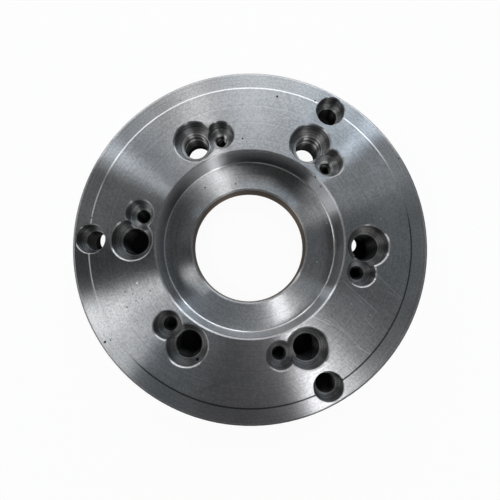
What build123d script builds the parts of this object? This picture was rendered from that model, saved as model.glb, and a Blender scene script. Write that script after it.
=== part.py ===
from build123d import *
import math
import os

# Chuck flange: one turned and drilled plate that carries a lathe chuck on a cam-lock spindle nose.
# Millimetres. Z is the turning axis and points towards the spindle. The origin is on the axis,
# at the end face of the spigot that enters the back of the chuck.

# Plate
flange_diameter = 200.0
flange_thickness = 26.0
rim_chamfer_run = 1.2
rim_chamfer_height = 0.7

# Spigot that centres the chuck, below the plate
spigot_diameter = 165.0
spigot_height = 4.0
spigot_chamfer = 0.8

# Contact face for the spindle, raised a little above the rim
seat_diameter = 180.5
seat_rise = 0.5
step_run = 0.9

# Short taper socket for the spindle nose
taper_diameter = 106.375
taper_half_angle = 7.125
taper_depth = 15.875
taper_lip = 0.8
socket_corner_radius = 0.6

# Bore through the middle
bore_diameter = 67.6
bore_lip = 1.2
bore_back_chamfer = 1.0

# Seats and threads of the cam-lock studs. A threaded hole has the thread's outer diameter.
stud_count = 6
stud_circle = 133.4
stud_seat_diameter = 23.0
stud_seat_depth = 9.0
stud_seat_lip = 0.8
stud_seat_corner = 1.2
stud_thread_diameter = 16.0

# Seats and blind threads of the screws that lock each stud, beside the stud seats
lock_circle = 129.4
lock_angle = -13.4
lock_seat_diameter = 15.8
lock_seat_depth = 11.0
lock_seat_lip = 0.7
lock_seat_corner = 1.0
lock_thread_diameter = 8.0
lock_thread_depth = 13.0

# Counterbored holes of the screws that hold the chuck
bolt_count = 3
bolt_circle = 180.0
bolt_start_angle = 60.0
bolt_hole_diameter = 11.0
bolt_head_diameter = 16.5
bolt_head_depth = 9.3
bolt_head_lip = 0.4
bolt_head_corner = 1.0
bolt_hole_lead_in = 0.8

# Drilling
drill_point_angle = 118.0
hole_exit_chamfer = 0.5
overshoot = 2.0

# Levels along the axis
plate_bottom = spigot_height
rim_level = plate_bottom + flange_thickness - seat_rise
seat_level = plate_bottom + flange_thickness
socket_floor = seat_level - taper_depth


def turned_body():
    """The plate, spigot, taper socket and bore as one revolved section."""
    rim = flange_diameter / 2
    spigot = spigot_diameter / 2
    seat = seat_diameter / 2
    taper_mouth = taper_diameter / 2
    bore = bore_diameter / 2
    taper_slope = math.tan(math.radians(taper_half_angle))
    taper_end = taper_mouth - taper_depth * taper_slope
    section = [
        (bore + bore_back_chamfer, 0),
        (spigot - spigot_chamfer, 0),
        (spigot, spigot_chamfer),
        (spigot, plate_bottom),
        (rim - rim_chamfer_run, plate_bottom),
        (rim, plate_bottom + rim_chamfer_height),
        (rim, rim_level - rim_chamfer_height),
        (rim - rim_chamfer_run, rim_level),
        (seat + step_run, rim_level),
        (seat, seat_level),
        (taper_mouth + taper_lip, seat_level),
        (taper_mouth - taper_lip * taper_slope, seat_level - taper_lip),
        (taper_end, socket_floor),
        (bore + bore_lip, socket_floor),
        (bore, socket_floor - bore_lip),
        (bore, bore_back_chamfer),
    ]
    with BuildPart() as body:
        with BuildSketch(Plane.XZ) as half_section:
            with BuildLine():
                Polyline(*section, close=True)
            make_face()
            corner = half_section.vertices().sort_by_distance((taper_end, socket_floor))[0]
            fillet(corner, socket_corner_radius)
        revolve(axis=Axis.Z)
    return body.part


def stepped_hole(seat_radius, seat_depth, lip, corner, narrow_hole):
    """A cutter for a seat with a narrower hole below it, with its mouth at Z = 0.

    The narrow hole is the list of its section's points, from its mouth to the axis.
    """
    section = [
        (0, overshoot),
        (seat_radius + lip, overshoot),
        (seat_radius + lip, 0),
        (seat_radius, -lip),
        (seat_radius, corner - seat_depth),
        (seat_radius - corner, -seat_depth),
        *narrow_hole,
    ]
    with BuildPart() as cutter:
        with BuildSketch(Plane.XZ):
            with BuildLine():
                Polyline(*section, close=True)
            make_face()
        revolve(axis=Axis.Z)
    return cutter.part


def through_end(hole_radius, depth):
    """The end of a hole that comes out at a depth, with a broken edge."""
    mouth = hole_radius + hole_exit_chamfer
    return [
        (hole_radius, hole_exit_chamfer - depth),
        (mouth, -depth),
        (mouth, -depth - overshoot),
        (0, -depth - overshoot),
    ]


def blind_end(hole_radius, depth):
    """The end of a hole that stops at a depth with the cone of the drill's point."""
    point = hole_radius / math.tan(math.radians(drill_point_angle / 2))
    return [(hole_radius, -depth), (0, -depth - point)]


def around(cutter, circle_diameter, count, start_angle, level):
    """Copies of a cutter, evenly spaced on a circle, with their mouths at a level."""
    places = PolarLocations(circle_diameter / 2, count, start_angle)
    return [Pos(0, 0, level) * place * cutter for place in places]


def stud_holes():
    """Seats with threads that run out through the spigot's face."""
    thread = stud_thread_diameter / 2
    cutter = stepped_hole(
        stud_seat_diameter / 2,
        stud_seat_depth,
        stud_seat_lip,
        stud_seat_corner,
        [(thread, -stud_seat_depth), *through_end(thread, seat_level)],
    )
    return around(cutter, stud_circle, stud_count, 0, seat_level)


def lock_screw_holes():
    """Seats that cut into the stud seats, each with a blind thread."""
    thread = lock_thread_diameter / 2
    cutter = stepped_hole(
        lock_seat_diameter / 2,
        lock_seat_depth,
        lock_seat_lip,
        lock_seat_corner,
        [(thread, -lock_seat_depth), *blind_end(thread, lock_seat_depth + lock_thread_depth)],
    )
    return around(cutter, lock_circle, stud_count, lock_angle, seat_level)


def chuck_screw_holes():
    """Counterbored clearance holes that come out beside the spigot."""
    hole = bolt_hole_diameter / 2
    cutter = stepped_hole(
        bolt_head_diameter / 2,
        bolt_head_depth,
        bolt_head_lip,
        bolt_head_corner,
        [
            (hole + bolt_hole_lead_in, -bolt_head_depth),
            (hole, -bolt_head_depth - bolt_hole_lead_in),
            *through_end(hole, rim_level - plate_bottom),
        ],
    )
    return around(cutter, bolt_circle, bolt_count, bolt_start_angle, rim_level)


def chuck_flange():
    """The whole flange."""
    body = turned_body()
    for cutter in stud_holes() + lock_screw_holes() + chuck_screw_holes():
        body -= cutter
    body.label = "chuck_flange"
    return body


os.makedirs("parts", exist_ok=True)
export_step(chuck_flange(), "parts/chuck_flange.step")
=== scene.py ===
import math

import bpy
from mathutils import Matrix, Vector


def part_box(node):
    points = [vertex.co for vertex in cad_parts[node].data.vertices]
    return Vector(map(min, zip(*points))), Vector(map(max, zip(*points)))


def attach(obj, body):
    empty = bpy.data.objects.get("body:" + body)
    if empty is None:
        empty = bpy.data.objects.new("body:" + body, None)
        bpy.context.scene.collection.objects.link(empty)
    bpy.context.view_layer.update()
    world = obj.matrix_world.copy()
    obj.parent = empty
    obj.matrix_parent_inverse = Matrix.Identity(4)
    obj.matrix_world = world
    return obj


# Looks of the chuck flange. Every length is in metres, in the frame of the CAD model: +Z is the turning
# axis and points up, and the origin is at the foot of the spigot.

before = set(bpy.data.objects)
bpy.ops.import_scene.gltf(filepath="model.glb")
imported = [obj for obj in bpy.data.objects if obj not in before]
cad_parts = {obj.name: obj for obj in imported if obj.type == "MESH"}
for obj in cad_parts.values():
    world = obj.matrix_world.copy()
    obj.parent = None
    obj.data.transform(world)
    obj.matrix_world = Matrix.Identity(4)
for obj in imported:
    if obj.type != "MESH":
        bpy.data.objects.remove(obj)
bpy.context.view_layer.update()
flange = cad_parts["chuck_flange"]
MM = 0.001

# Sizes that the frame's solid has
rim_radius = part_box("chuck_flange")[1].x
seat_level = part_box("chuck_flange")[1].z
socket_depth = 15.875 * MM
socket_floor = seat_level - socket_depth
bore_radius, bore_lip = 33.8 * MM, 1.2 * MM
stud_circle, stud_count, stud_start = 66.7 * MM, 6, 0.0
stud_seat_radius, stud_seat_depth, stud_lip = 11.5 * MM, 9.0 * MM, 0.8 * MM
stud_thread_radius = 8.0 * MM
lock_circle, lock_start = 64.7 * MM, math.radians(-13.4)
lock_seat_radius, lock_seat_depth, lock_lip = 7.9 * MM, 11.0 * MM, 0.7 * MM
lock_thread_radius, lock_thread_depth = 4.0 * MM, 13.0 * MM
lock_floor = seat_level - lock_seat_depth
screw_circle, screw_count, screw_start = 90.0 * MM, 3, math.radians(60)
screw_head_radius, screw_hole_radius, screw_lip = 8.25 * MM, 5.5 * MM, 0.4 * MM
exit_chamfer = 0.5 * MM
step_middle_radius = 90.7 * MM
corner_line_radius = 50.95 * MM

# Hole patterns: circle, count, start angle, and the radii of the seat with its lip and of the narrow hole
hole_patterns = [
    (stud_circle, stud_count, stud_start, stud_seat_radius + stud_lip, stud_thread_radius),
    (screw_circle, screw_count, screw_start, screw_head_radius + screw_lip, screw_hole_radius),
    (lock_circle, stud_count, lock_start, lock_seat_radius + lock_lip, lock_thread_radius),
]

# Threads, which the solid has as plain holes at their outer diameter
stud_pitch, stud_thread_steps = 1.5 * MM, 48
lock_pitch, lock_thread_steps = 1.25 * MM, 36
thread_height_share = 0.5413
thread_root_share = 7 / 8
thread_crest_share = 1 / 4
thread_sink = 0.05 * MM

# Camera, from a pinhole fitted to the photo's circles
photo_size = 500
sensor_width = 36.0
focal_pixels = 411.7
principal_pixel = (239.7, 248.3)
camera_place = Vector((-4.2, -24.2, 260.3)) * MM
camera_aim = Vector((-5.6, -3.3, 30.0)) * MM
camera_roll = math.radians(1.49)
camera_clip_start = 5 * MM

# Lamps: name, azimuth, elevation, width and height in degrees as the part sees them, radiance, colour
lamp_distance = 4.0
neutral = (1.0, 1.0, 1.0)
day = (0.86, 0.94, 1.0)
sky = (0.77, 0.89, 1.0)
lamps = [
    ("left_window", 214.5, 51, 18, 8, 11.0, neutral),
    ("left_window_side", 199, 55.5, 12, 15, 9.0, neutral),
    ("front_ceiling", 310, 74, 3.5, 8, 60.0, neutral),
    ("front_ceiling_side", 333, 74, 14, 8, 1.8, neutral),
    ("front_ceiling_low", 315, 66, 17, 8, 4.6, neutral),
    ("front_low", 299, 46, 9, 12, 12.0, neutral),
    ("back_ceiling", 102.5, 75, 5, 8, 17.0, neutral),
    ("back_ceiling_low", 103, 67, 9, 8, 3.6, neutral),
    ("left_strip", 140, 46, 3, 10, 13.5, day),
    ("left_strip_wide", 133.5, 46, 21, 12, 2.3, day),
    ("left_strip_low", 144, 29, 6, 16, 7.0, neutral),
    ("right_window", 49.5, 44, 4, 14, 12.0, sky),
    ("right_window_wide", 59, 44, 24, 14, 3.4, sky),
    ("right_window_side", 35, 44, 14, 14, 1.3, day),
    ("right_window_top", 60, 50, 8, 10, 4.5, day),
    ("back_window", 83, 48, 32, 10, 5.3, day),
    ("back_window_top", 82, 57, 24, 8, 2.3, neutral),
    ("low_back", 87, 8, 140, 12, 3.1, neutral),
    ("low_sides", 92, 22, 136, 14, 2.3, neutral),
    ("right_fill", 12, 60, 45, 30, 0.34, day),
    ("left_fill", 160, 50, 22, 14, 0.95, neutral),
    ("low_left", 190, 10, 80, 10, 1.6, neutral),
]

# World: its level as a light and in reflections from above, and its level where the camera sees it or a
# reflection shows the horizon
white = (1, 1, 1, 1)
room_level, horizon_level = 0.03, 0.985
horizon_height = math.sin(math.radians(8))

# Floor: a painted shadow in dark paint where the part stands, and white around it. The discs below the bore
# and four of the holes are white painted light under the part. Each disc has its centre's x and y and its
# radius in millimetres.
floor_half, floor_drop = 3.0, 0.2 * MM
floor_shadow_paint, floor_pale = (0.02, 0.02, 0.02, 1), (0.9, 0.9, 0.9, 1)
floor_glow_share = 0.94
shade_radius, white_radius = 98.5 * MM, 107 * MM
painted_light_discs = [(0, 0, 36), (33.0, 57.1, 7.2), (-32.7, 56.5, 7.2), (63.0, 3.4, 5), (-87.1, 2.0, 7.4)]

# Noise fields of the iron: scale per metre, detail and roughness
marks_noise = (900.0, 4.0, 0.7)
grain_noise = (1400.0, 2.0, 0.6)
specks_noise = (950.0, 1.0, 0.5)
mottle_noise = (45.0, 3.0, 0.55)
rings_noise = (800.0, 3.0, 0.7)
crust_noise = (900.0, 2.0, 0.6)
bands_noise = (350.0, 1.0, 0.4)
pits_noise = (1100.0, 1.0, 0.4)
hatch_noise = (1.0, 1.0, 0.4)

# How much each field counts: marks, specks and mottle in bare iron, and rings and crust on a seat's floor
bare_shares = (0.3, 0.4, 0.3)
seat_shares = (0.6, 0.4)
even_speck = 0.5

# Colours of the iron. Where there are two, a pattern mixes them from dark to pale.
iron_dark, iron_pale = (0.32, 0.325, 0.335, 1), (0.51, 0.517, 0.53, 1)
# Hole walls: painted shade, darker than the seat floors
wall_dark, wall_pale = (0.08, 0.08, 0.082, 1), (0.32, 0.325, 0.33, 1)
seat_dark, seat_pale = (0.26, 0.26, 0.26, 1), (0.50, 0.505, 0.51, 1)
# Threads lit from below: pale bands of painted light between these two
thread_dark, thread_pale = (0.10, 0.10, 0.10, 1), (0.55, 0.55, 0.55, 1)
# Painted highlight round the narrow holes' mouths
mouth_highlight = (0.80, 0.80, 0.80, 1)
# Painted shade deep in the holes and in the narrow holes that are not lit from below
hole_shade = (0.04, 0.04, 0.04, 1)
# Painted shade: on the holes towards the lower side, and on one side of the step and the rim's edge
painted_shade = (0.03, 0.03, 0.03, 1)
bore_brown = (0.11, 0.085, 0.065, 1)
# Painted highlight along the socket's corner
corner_highlight_colour = (0.75, 0.75, 0.75, 1)
stain = (0.11, 0.095, 0.105, 1)
pit = (0.08, 0.08, 0.08, 1)
pore = (0.01, 0.01, 0.01, 1)
scuffed = (0.15, 0.15, 0.15, 1)
# Bright iron: on real scratches and dents, and as a painted highlight on the step
bright_cut_and_highlight = (0.85, 0.86, 0.88, 1)

# Ranges over which a field goes from 0 to 1
shade_range = (0.35, 0.65)
wall_range = (0.42, 0.66)
seat_range = (0.38, 0.62)
bands_range = (0.42, 0.58)
pits_range = (0.64, 0.72)
upright_range = (0.4, 0.3)
level_range = (0.5, 0.65)

# Depths below the raised face at which the looks change, each with its softness, in millimetres
lip_limit = (1.0, 0.3)
edge_limit = (1.3, 0.3)
wear_limit = (2.0, 1.0)
stud_seat_limit = (9.1, 0.3)
deep_limit = (15.0, 9.0)

# Where these start and where they are full: the corner's line and the step as distances from their middles,
# the rim's edge and the bore as radii, and the bore's top as levels
corner_line_fade = (0.4 * MM, 0.24 * MM)
step_fade = (0.65 * MM, 0.35 * MM)
edge_fade = (rim_radius - 0.8 * MM, rim_radius - 0.5 * MM)
bore_fade = (bore_radius + 0.5 * MM, bore_radius + 0.2 * MM)
bore_top_fade = (socket_floor - 0.7 * bore_lip, socket_floor - bore_lip)

# Relief and roughness. Pairs are for flat and for upright surfaces, or for rough holes and for the threads
# lit from below.
bump_strength, bump_distance = 0.11, 0.2 * MM
marks_height = 0.35
grain_heights = (0.65, 0.15)
iron_roughness = (0.275, 0.20)
hole_roughness = (0.62, 0.4)

# Shares of the looks that only some places have
mouth_highlight_shares = (0.4, 0.85)
low_holes_shade_share = 0.5
stain_share = 0.57
pits_share = 0.5
# Painted highlight on the step
step_highlight_share = 0.4
# Painted shade on the step and on the rim's edge
step_shade_share = 0.85
edge_shade_shares = (0.4, 0.8)
scuff_share = 0.2
hatch_share, scratch_share = 0.35, 0.6

# Where those places start and where they are full. The step and the rim count towards the side with
# painted shade.
# Holes lit from below, whose threads get painted light: past these levels and within the reach
lit_holes_from, lit_holes_to, lit_holes_reach = 40 * MM, 50 * MM, 80 * MM
# Painted shade on the holes starts at the first level and is full at the second
low_holes_shade_from, low_holes_shade_to = 20 * MM, 0.0
shade_side_azimuth = 300
step_shade_from, step_shade_to = 18 * MM, 38 * MM
step_highlight_from, step_highlight_to = 25 * MM, -15 * MM
edge_shade_from, edge_shade_to = -50 * MM, -20 * MM

# Sectors: middle azimuth and half width in degrees, inner and outer radius in millimetres, and softness in
# degrees. Inwards and outwards they fade over the same few millimetres.
sector_blur = 4
stained_sector = (272, 20, 50, 106, 11)
pitted_sectors = [(212, 22, 55, 96, 10), (170, 5, 85, 101, 4)]
scratched_sector = (318, 26, 56, 92, 10)

# Hatches of fine scratches: direction in degrees, width and length in millimetres, and the noise's range
hatches = [(-43, 0.45, 26, 0.63, 0.72), (-35, 0.4, 20, 0.66, 0.74), (62, 0.4, 9, 0.70, 0.77)]

# Pores and dents: x, y, depth below the raised face, and radius in millimetres. Each fades from the first
# share of its radius to the second.
dark_spots = [
    (13.9, 85.8, 0, 0.65), (-5.6, 60.1, 0, 0.5), (35.9, 83.9, 0.4, 0.5), (-90.1, 12.0, 0.2, 0.5),
    (40.3, 34.1, 3.5, 0.9), (36.2, 38.4, 0.5, 0.8), (-78.6, -57.1, 0.5, 0.7), (-75.6, -56.0, 0.5, 0.4),
    (-68.8, -29.4, 0, 0.4), (-64.6, -30.4, 0, 0.35), (-54.9, -28.3, 0, 0.35), (-62.5, -34.2, 0, 0.35),
    (-59.2, -33.0, 0, 0.35), (-67.3, -37.6, 0, 0.4), (84.2, 50.9, 0.5, 0.4), (-42.5, 82.3, 0.5, 0.35),
    (-9.2, 37.5, 15.9, 0.5), (-27.8, 34.7, 15.9, 0.5), (41.7, 62.2, 5, 1.0), (-22.7, 67.1, 5, 1.0),
    (50.1, 52.3, 11, 0.7), (-28.0, -66.7, 9, 1.0),
]
light_spots = [
    (-62.4, -24.2, 0, 0.6), (56.9, -32.7, 0, 0.35), (67.4, -38.5, 0, 0.4), (82.7, -23.2, 0, 0.3),
    (73.7, 15.4, 0, 0.35), (76.5, 9.1, 0, 0.3), (46.5, 14.8, 15.9, 0.5), (40.7, -8.9, 15.9, 0.5),
    (-57.5, 27.5, 0, 0.4),
]
spot_fade = (1.4, 0.6)

# Scratches and scuffs in the face: start x and y, end x and y, and half width in millimetres. They fade over
# shares of their half width in the same way.
scratches = [
    (52.9, -20.3, 71.5, -37.0, 0.16), (70.8, -15.7, 85.1, -29.1, 0.16), (77.1, -25.0, 84.0, -29.5, 0.12),
    (35.6, -39.9, 45.3, -44.5, 0.14), (59.7, -55.6, 67.3, -59.7, 0.14), (43.9, -41.9, 53.6, -48.4, 0.10),
    (49.5, -44.4, 63.2, -57.6, 0.09), (64.6, -40.2, 70.0, -46.0, 0.10), (-74.2, -22.9, -68.8, -19.4, 0.12),
    (-63.5, -18.7, -59.5, -18.2, 0.12),
]
scuffs = [(-27.9, -83.5, -15.8, -77.8, 0.8), (-15.8, -77.8, 1.8, -72.7, 0.8)]
stroke_fade = (2.0, 0.5)


def direction(azimuth, elevation):
    """A unit vector, from degrees."""
    a, e = math.radians(azimuth), math.radians(elevation)
    return Vector((math.cos(e) * math.cos(a), math.cos(e) * math.sin(a), math.sin(e)))


class Shader:
    """Adds nodes to one material or world and links them."""

    def __init__(self, owner):
        self.owner = owner
        owner.use_nodes = True
        self.tree = owner.node_tree
        self.tree.nodes.clear()

    def put(self, node, key, value):
        """Links a socket to a node's input, or sets the input to a plain value."""
        if isinstance(value, bpy.types.NodeSocket):
            self.tree.links.new(value, node.inputs[key])
        else:
            node.inputs[key].default_value = value

    def add(self, kind, sockets=None, **settings):
        node = self.tree.nodes.new(kind)
        for key, value in settings.items():
            setattr(node, key, value)
        for key, value in (sockets or {}).items():
            self.put(node, key, value)
        return node

    def math(self, operation, *values):
        return self.add("ShaderNodeMath", dict(enumerate(values)), operation=operation).outputs[0]

    def chain(self, operation, values):
        result = values[0]
        for value in values[1:]:
            result = self.math(operation, result, value)
        return result

    def total(self, *values):
        return self.chain("ADD", values)

    def product(self, *values):
        return self.chain("MULTIPLY", values)

    def most(self, *values):
        return self.chain("MAXIMUM", values)

    def weigh(self, fields, shares):
        return self.total(*[self.product(field, share) for field, share in zip(fields, shares)])

    def vector(self, operation, *values):
        node = self.add("ShaderNodeVectorMath", dict(enumerate(values)), operation=operation)
        return node.outputs["Value" if operation in ("LENGTH", "DOT_PRODUCT", "DISTANCE") else "Vector"]

    def combine(self, x, y, z):
        return self.add("ShaderNodeCombineXYZ", {0: x, 1: y, 2: z}).outputs[0]

    def mix(self, share, a, b, kind="FLOAT"):
        node = self.add("ShaderNodeMix", data_type=kind)
        first, second, result = {"FLOAT": (2, 3, 0), "VECTOR": (4, 5, 1), "RGBA": (6, 7, 2)}[kind]
        for index, value in ((0, share), (first, a), (second, b)):
            self.put(node, index, value)
        return node.outputs[result]

    def blend(self, share, a, b):
        return self.mix(share, a, b, "RGBA")

    def ramp(self, value, low, high):
        """0 at low, 1 at high and smooth between them."""
        sockets = {"Value": value, "From Min": low, "From Max": high}
        return self.add("ShaderNodeMapRange", sockets, interpolation_type="SMOOTHSTEP").outputs[0]

    def noise(self, place, scale, detail, roughness, dimensions="3D"):
        key = "W" if dimensions == "1D" else "Vector"
        sockets = {key: place, "Scale": scale, "Detail": detail, "Roughness": roughness}
        return self.add("ShaderNodeTexNoise", sockets, noise_dimensions=dimensions).outputs[0]

    def finish(self, surface, kind="ShaderNodeOutputMaterial"):
        self.add(kind, {"Surface": surface})
        return self.owner


class Surface:
    """Where a point of the iron lies, which way it faces and what part of a hole it is in, if any."""

    # Clearances below the lowest seat, above the foot, and round the narrow holes and their ends and mouths
    seat_margin = 0.5 * MM
    foot_margin = 0.1 * MM
    narrow_margin = 0.1 * MM
    exit_margin = 0.6 * MM
    mouth_from, mouth_to = 0.7 * MM, 0.4 * MM

    def __init__(self, s):
        self.s = s
        self.place = s.add("ShaderNodeTexCoord").outputs["Object"]
        self.x, self.y, self.z = s.add("ShaderNodeSeparateXYZ", {0: self.place}).outputs
        self.flat = s.combine(self.x, self.y, 0.0)
        self.angle = s.math("ARCTAN2", self.y, self.x)
        self.reach = s.vector("LENGTH", self.flat)
        self.normal = s.add("ShaderNodeNewGeometry").outputs["Normal"]
        upward = s.add("ShaderNodeSeparateXYZ", {0: self.normal}).outputs[2]
        self.upright = s.ramp(s.math("ABSOLUTE", upward), *upright_range)
        self.level = s.ramp(upward, *level_range)
        self.find_hole()

        # The tool's path counts outwards on flat faces and upwards on walls
        arm = s.vector("SUBTRACT", self.flat, self.axis)
        self.path = s.math("ADD", s.vector("LENGTH", arm), self.z)
        around = s.vector("CROSS_PRODUCT", (0.0, 0.0, 1.0), s.vector("NORMALIZE", arm))
        self.across = s.vector("NORMALIZE", s.vector("CROSS_PRODUCT", around, self.normal))

    def find_hole(self):
        """The axis that the tool turned about, the part's or a hole's, and the parts of the holes."""
        s = self.s
        below_seats = s.math("LESS_THAN", self.z, lock_floor - self.seat_margin)
        above_foot = s.math("GREATER_THAN", self.z, self.foot_margin)
        self.axis = s.combine(0.0, 0.0, 0.0)
        self.in_hole, self.in_narrow, self.in_mouth = 0.0, 0.0, 0.0
        for circle, count, start, wide, narrow in hole_patterns:
            centre = self.nearest_axis(circle, count, start)
            away = s.vector("DISTANCE", self.flat, centre)
            limit = s.product(s.mix(below_seats, wide, narrow + self.exit_margin), above_foot)
            inside = s.math("LESS_THAN", away, limit)
            self.axis = s.mix(inside, self.axis, centre, "VECTOR")
            self.in_hole = s.most(inside, self.in_hole)
            self.in_narrow = s.most(s.math("LESS_THAN", away, narrow + self.narrow_margin), self.in_narrow)
            mouth = s.ramp(away, narrow + self.mouth_from, narrow + self.mouth_to)
            self.in_mouth = s.most(mouth, self.in_mouth)

    def nearest_axis(self, circle, count, start):
        """The axis of the nearest hole of a pattern, as a point in the plane."""
        s = self.s
        pitch = 2 * math.pi / count
        steps = s.math("ROUND", s.math("DIVIDE", s.math("SUBTRACT", self.angle, start), pitch))
        centre = s.total(s.product(steps, pitch), start)
        x = s.product(s.math("COSINE", centre), circle)
        y = s.product(s.math("SINE", centre), circle)
        return s.combine(x, y, 0.0)

    def below(self, depth, softness):
        """1 below a depth under the raised face."""
        return self.s.ramp(self.z, seat_level - depth * MM, seat_level - (depth + softness) * MM)

    def above(self, depth, softness):
        """1 above a depth under the raised face."""
        return self.s.ramp(self.z, seat_level - (depth + softness) * MM, seat_level - depth * MM)

    def off_ring(self, radius):
        """How far it is from a ring round the part's axis, in or out."""
        return self.s.math("ABSOLUTE", self.s.math("SUBTRACT", self.reach, radius))

    def sector(self, middle, half, near, far, softness):
        """1 inside a sector of a ring, with soft edges."""
        s = self.s
        turn = s.math("SUBTRACT", self.angle, math.radians(middle))
        turn = s.math("ABSOLUTE", s.math("WRAP", turn, math.pi, -math.pi))
        return s.product(
            s.ramp(turn, math.radians(half + softness), math.radians(half - softness)),
            s.ramp(self.reach, near * MM, (near + sector_blur) * MM),
            s.ramp(self.reach, far * MM, (far - sector_blur) * MM),
        )

    def spots(self, rows):
        """1 at each of a list of points, falling to 0 at their radii."""
        s = self.s
        fields = []
        for x, y, depth, radius in rows:
            away = s.vector("DISTANCE", self.place, (x * MM, y * MM, seat_level - depth * MM))
            fields.append(s.ramp(away, *[share * radius * MM for share in spot_fade]))
        return s.most(*fields)

    def strokes(self, rows):
        """1 on each of a list of straight strokes."""
        return self.s.most(*[self.stroke(*row) for row in rows])

    def stroke(self, x0, y0, x1, y1, half_width):
        """1 on a straight line between two points, and 0 away from it."""
        s = self.s
        start = Vector((x0, y0, 0)) * MM
        run = Vector((x1 - x0, y1 - y0, 0)) * MM
        arm = s.vector("SUBTRACT", self.flat, tuple(start))
        share = s.math("DIVIDE", s.vector("DOT_PRODUCT", arm, tuple(run)), run.length_squared)
        share = s.math("MINIMUM", s.most(share, 0.0), 1.0)
        foot = s.add("ShaderNodeVectorMath", {0: tuple(run), "Scale": share}, operation="SCALE")
        away = s.vector("DISTANCE", arm, foot.outputs[0])
        return s.ramp(away, *[share * half_width * MM for share in stroke_fade])

    def hatch(self, degrees, width, length, low, high):
        """Fine straight scratches in one direction."""
        s = self.s
        turn = math.radians(degrees)
        along = s.total(s.product(self.x, math.cos(turn)), s.product(self.y, math.sin(turn)))
        side = s.math("SUBTRACT", s.product(self.y, math.cos(turn)), s.product(self.x, math.sin(turn)))
        along = s.math("DIVIDE", along, length * MM)
        side = s.math("DIVIDE", side, width * MM)
        return s.ramp(s.noise(s.combine(along, side, degrees), *hatch_noise), low, high)


def bare_colour(s, at, marks):
    """Clean turned iron: tool marks, specks on the flat faces, and a mottle."""
    specks = s.mix(at.upright, s.noise(at.place, *specks_noise), even_speck)
    mottle = s.noise(at.place, *mottle_noise)
    shade = s.weigh((marks, specks, mottle), bare_shares)
    return s.blend(s.ramp(shade, *shade_range), iron_dark, iron_pale)


def hole_colour(s, at, lit_holes, below_seat):
    """The insides of the holes: walls painted dark as shade, paler seat floors and corners, and threads.

    The threads that light falls on from below have pale bands of painted light, and the other narrow holes
    and the depths of all holes are painted near black as shade. Round the narrow mouths is a painted
    highlight, and towards the lower side the holes are painted darker as shade.
    """
    rings = s.noise(at.path, *rings_noise, "1D")
    wall = s.blend(s.ramp(rings, *wall_range), wall_dark, wall_pale)
    worked = s.weigh((rings, s.noise(at.place, *crust_noise)), seat_shares)
    seat = s.blend(s.ramp(worked, *seat_range), seat_dark, seat_pale)
    # Walls take the darker colour as painted shade, and faces that look up take the seat's
    colour = s.blend(at.level, wall, seat)
    # A painted highlight round each narrow hole's mouth, stronger in the holes lit from below
    mouth = s.product(at.in_mouth, at.level, s.mix(lit_holes, *mouth_highlight_shares))
    colour = s.blend(mouth, colour, mouth_highlight)
    # Painted shade over the holes, darker towards the lower side
    colour = s.blend(s.product(s.ramp(at.y, low_holes_shade_from, low_holes_shade_to), low_holes_shade_share), colour, painted_shade)
    # Narrow holes: pale bands of painted light in those lit from below, painted shade in the others
    bands = s.ramp(s.noise(at.z, *bands_noise, "1D"), *bands_range)
    narrow = s.blend(lit_holes, hole_shade, s.blend(bands, thread_dark, thread_pale))
    colour = s.blend(below_seat, colour, narrow)
    # Painted shade deep in every hole
    return s.blend(at.below(*deep_limit), colour, hole_shade)


def socket_looks(s, at, in_bore, colour):
    """The bore, dull and brown as it was drilled, and a painted highlight along the socket's corner."""
    colour = s.blend(in_bore, colour, bore_brown)
    # Painted highlight along the corner between the socket's floor and its taper
    corner_highlight = s.product(
        s.ramp(at.off_ring(corner_line_radius), *corner_line_fade),
        s.ramp(at.z, socket_floor - bore_lip, socket_floor),
    )
    return s.blend(corner_highlight, colour, corner_highlight_colour)


def wear_and_edge_light(s, at, spindle_side, colour):
    """A stain and a pitted stretch. A painted highlight on one side of the step, and painted shade on its
    other side and on the rim's edge.
    """
    stained = s.product(at.sector(*stained_sector), spindle_side, stain_share)
    colour = s.blend(stained, colour, stain)
    pitted = s.most(*[at.sector(*row) for row in pitted_sectors])
    pits = s.ramp(s.noise(at.place, *pits_noise), *pits_range)
    colour = s.blend(s.product(pits, pitted, spindle_side, pits_share), colour, pit)

    low_side = s.vector("DOT_PRODUCT", at.flat, tuple(direction(shade_side_azimuth, 0)))
    step = s.product(s.ramp(at.off_ring(step_middle_radius), *step_fade), spindle_side)
    # A painted highlight along the step, away from the low side
    step_highlight = s.product(step, s.ramp(low_side, step_highlight_from, step_highlight_to), step_highlight_share)
    colour = s.blend(step_highlight, colour, bright_cut_and_highlight)
    edge = s.product(s.ramp(at.reach, *edge_fade), at.above(*edge_limit))
    # Painted shade on the step and the rim's edge, on the low side
    side_shade = s.most(
        s.product(step, s.ramp(low_side, step_shade_from, step_shade_to), step_shade_share),
        s.product(edge, s.mix(s.ramp(low_side, edge_shade_from, edge_shade_to), *edge_shade_shares)),
    )
    colour = s.blend(side_shade, colour, painted_shade)
    return s.blend(s.product(at.strokes(scuffs), spindle_side, scuff_share), colour, scuffed)


def marked(s, at, spindle_side, colour):
    """Scratches, bright dents and dark pores."""
    hatched = s.most(*[at.hatch(*row) for row in hatches])
    hatched = s.product(hatched, at.sector(*scratched_sector), hatch_share)
    lines = s.most(hatched, s.product(at.strokes(scratches), scratch_share))
    bright = s.most(s.product(lines, spindle_side), at.spots(light_spots))
    colour = s.blend(bright, colour, bright_cut_and_highlight)
    return s.blend(at.spots(dark_spots), colour, pore)


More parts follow.
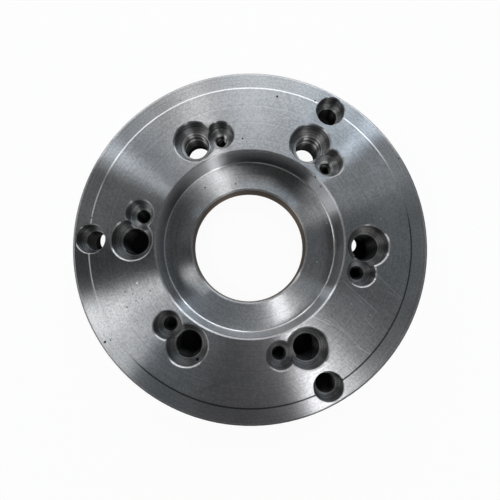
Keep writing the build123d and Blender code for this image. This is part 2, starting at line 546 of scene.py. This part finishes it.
def turned_iron():
    """Bare cast iron with tool marks that run round the axis of each turned or bored surface."""
    s = Shader(bpy.data.materials.new("turned_iron"))
    at = Surface(s)

    marks = s.noise(at.path, *marks_noise, "1D")
    grain = s.product(s.noise(at.place, *grain_noise), s.mix(at.upright, *grain_heights))
    height = s.total(s.product(marks, marks_height), grain)
    bump = s.add("ShaderNodeBump", {"Strength": bump_strength, "Distance": bump_distance, "Height": height})

    dull = s.product(at.in_hole, at.below(*lip_limit))
    # The holes lit from below, near the axis on the upper side
    lit_holes = s.product(s.ramp(at.y, lit_holes_from, lit_holes_to), s.math("LESS_THAN", at.reach, lit_holes_reach))
    below_seat = s.product(at.in_narrow, at.below(*stud_seat_limit))
    in_bore = s.product(s.ramp(at.reach, *bore_fade), s.ramp(at.z, *bore_top_fade))
    spindle_side = at.above(*wear_limit)

    colour = s.blend(dull, bare_colour(s, at, marks), hole_colour(s, at, lit_holes, below_seat))
    colour = socket_looks(s, at, in_bore, colour)
    colour = wear_and_edge_light(s, at, spindle_side, colour)
    colour = marked(s, at, spindle_side, colour)

    open_roughness = s.mix(at.upright, *iron_roughness)
    inner_roughness = s.mix(s.product(lit_holes, below_seat), *hole_roughness)
    metal = s.add("ShaderNodeBsdfPrincipled", {
        "Base Color": colour,
        "Metallic": 1.0,
        "Roughness": s.mix(s.most(dull, in_bore), open_roughness, inner_roughness),
        "Anisotropic": 1.0,
        "Tangent": at.across,
        "Normal": bump.outputs[0],
    })
    return s.finish(metal.outputs[0])


def floor_material():
    """White to the camera and in reflections. Under the part a painted shadow of dark paint, where its shade
    falls, and white painted light on the discs.
    """
    s = Shader(bpy.data.materials.new("floor"))
    place = s.add("ShaderNodeTexCoord").outputs["Object"]
    flat = s.vector("MULTIPLY", place, (1.0, 1.0, 0.0))
    # White around the part and on the discs of painted light, and a painted shadow under the part
    lit = s.ramp(s.vector("LENGTH", flat), shade_radius, white_radius)
    for x, y, radius in painted_light_discs:
        away = s.vector("DISTANCE", flat, (x * MM, y * MM, 0.0))
        lit = s.most(lit, s.math("LESS_THAN", away, radius * MM))

    rays = s.add("ShaderNodeLightPath").outputs
    seen = s.most(rays["Is Camera Ray"], rays["Is Glossy Ray"], rays["Is Transmission Ray"])
    glow = s.add("ShaderNodeEmission", {"Color": white, "Strength": 1.0}).outputs[0]
    paint = s.add("ShaderNodeBsdfDiffuse", {"Color": s.blend(lit, floor_shadow_paint, floor_pale)}).outputs[0]
    share = s.product(seen, lit, floor_glow_share)
    return s.finish(s.add("ShaderNodeMixShader", {0: share, 1: paint, 2: glow}).outputs[0])


def make_floor():
    """A plain square just below the part."""
    signs = ((-1, -1), (1, -1), (1, 1), (-1, 1))
    corners = [(x * floor_half, y * floor_half, -floor_drop) for x, y in signs]
    mesh = bpy.data.meshes.new("floor")
    mesh.from_pydata(corners, [], [(0, 1, 2, 3)])
    mesh.materials.append(floor_material())
    floor = bpy.data.objects.new("floor", mesh)
    bpy.context.scene.collection.objects.link(floor)


def make_threads(name, circle, count, start, radius, pitch, bottom, top, steps, material):
    """The ridges of the internal threads of one pattern of holes, with their feet inside the walls."""
    foot = radius + thread_sink
    crest = radius - thread_height_share * pitch
    foot_half = thread_root_share * pitch / 2
    crest_half = thread_crest_share * pitch / 2
    section = [(foot, -foot_half), (crest, -crest_half), (crest, crest_half), (foot, foot_half)]
    sides = len(section)
    total = round((top - bottom) / pitch * steps)
    vertices, faces = [], []
    for hole in range(count):
        centre = start + 2 * math.pi * hole / count
        cx, cy = circle * math.cos(centre), circle * math.sin(centre)
        first = len(vertices)
        for i in range(total + 1):
            turn = 2 * math.pi * i / steps
            level = bottom + pitch * i / steps
            for r, rise in section:
                height = min(max(level + rise, bottom), top)
                vertices.append((cx + r * math.cos(turn), cy + r * math.sin(turn), height))
        for i in range(total):
            for side in range(sides):
                a = first + sides * i + side
                b = first + sides * i + (side + 1) % sides
                faces.append((a, b, b + sides, a + sides))
    mesh = bpy.data.meshes.new(name)
    mesh.from_pydata(vertices, [], faces)
    mesh.materials.append(material)
    piece = bpy.data.objects.new(name, mesh)
    bpy.context.scene.collection.objects.link(piece)
    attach(piece, "root")


def make_lamps():
    """Plane lamps that face the part, each as wide and high as its angles say."""
    for name, azimuth, elevation, width, height, radiance, colour in lamps:
        data = bpy.data.lights.new(name, "AREA")
        data.shape = "RECTANGLE"
        data.size = lamp_distance * math.radians(width) * math.cos(math.radians(elevation))
        data.size_y = lamp_distance * math.radians(height)
        data.energy = radiance * math.pi * data.size * data.size_y
        data.color = colour
        lamp = bpy.data.objects.new(name, data)
        away = direction(azimuth, elevation)
        side = Vector((0, 0, 1)).cross(away).normalized()
        axes = Matrix((side, away.cross(side), away)).transposed()
        lamp.matrix_world = Matrix.Translation(away * lamp_distance) @ axes.to_4x4()
        bpy.context.scene.collection.objects.link(lamp)


def make_world():
    """White to the camera everywhere, and in reflections near the horizon. Dim above, like the room."""
    s = Shader(bpy.data.worlds.new("world"))
    way = s.add("ShaderNodeTexCoord").outputs["Generated"]
    height = s.add("ShaderNodeSeparateXYZ", {0: way}).outputs[2]
    rays = s.add("ShaderNodeLightPath").outputs
    mirrored = s.most(rays["Is Glossy Ray"], rays["Is Transmission Ray"])
    low = s.math("LESS_THAN", height, horizon_height)
    seen = s.most(rays["Is Camera Ray"], s.product(mirrored, low))
    level = s.mix(seen, room_level, horizon_level)
    light = s.add("ShaderNodeBackground", {"Color": white, "Strength": level})
    bpy.context.scene.world = s.finish(light.outputs[0], "ShaderNodeOutputWorld")


def make_camera():
    """The photo's camera. The shift takes the picture's middle to the pinhole's principal point."""
    data = bpy.data.cameras.new("camera")
    data.sensor_width = sensor_width
    data.lens = sensor_width * focal_pixels / photo_size
    data.shift_x = (photo_size / 2 - principal_pixel[0]) / photo_size
    data.shift_y = (principal_pixel[1] - photo_size / 2) / photo_size
    data.clip_start = camera_clip_start
    camera = bpy.data.objects.new("camera", data)
    look = (camera_aim - camera_place).normalized()
    right = look.cross(Vector((0, 1, 0))).normalized()
    up = right.cross(look)
    axes = Matrix((right, up, -look)).transposed()
    roll = Matrix.Rotation(camera_roll, 3, "Z")
    camera.matrix_world = Matrix.Translation(camera_place) @ (axes @ roll).to_4x4()
    bpy.context.scene.collection.objects.link(camera)
    bpy.context.scene.camera = camera


iron = turned_iron()
flange.data.materials.clear()
flange.data.materials.append(iron)
make_threads("stud_threads", stud_circle, stud_count, stud_start, stud_thread_radius, stud_pitch,
             exit_chamfer, seat_level - stud_seat_depth - thread_sink, stud_thread_steps, iron)
make_threads("lock_screw_threads", lock_circle, stud_count, lock_start, lock_thread_radius, lock_pitch,
             lock_floor - lock_thread_depth, lock_floor - thread_sink, lock_thread_steps, iron)
make_floor()
make_lamps()
make_world()
make_camera()
bpy.context.scene.view_settings.view_transform = "Standard"
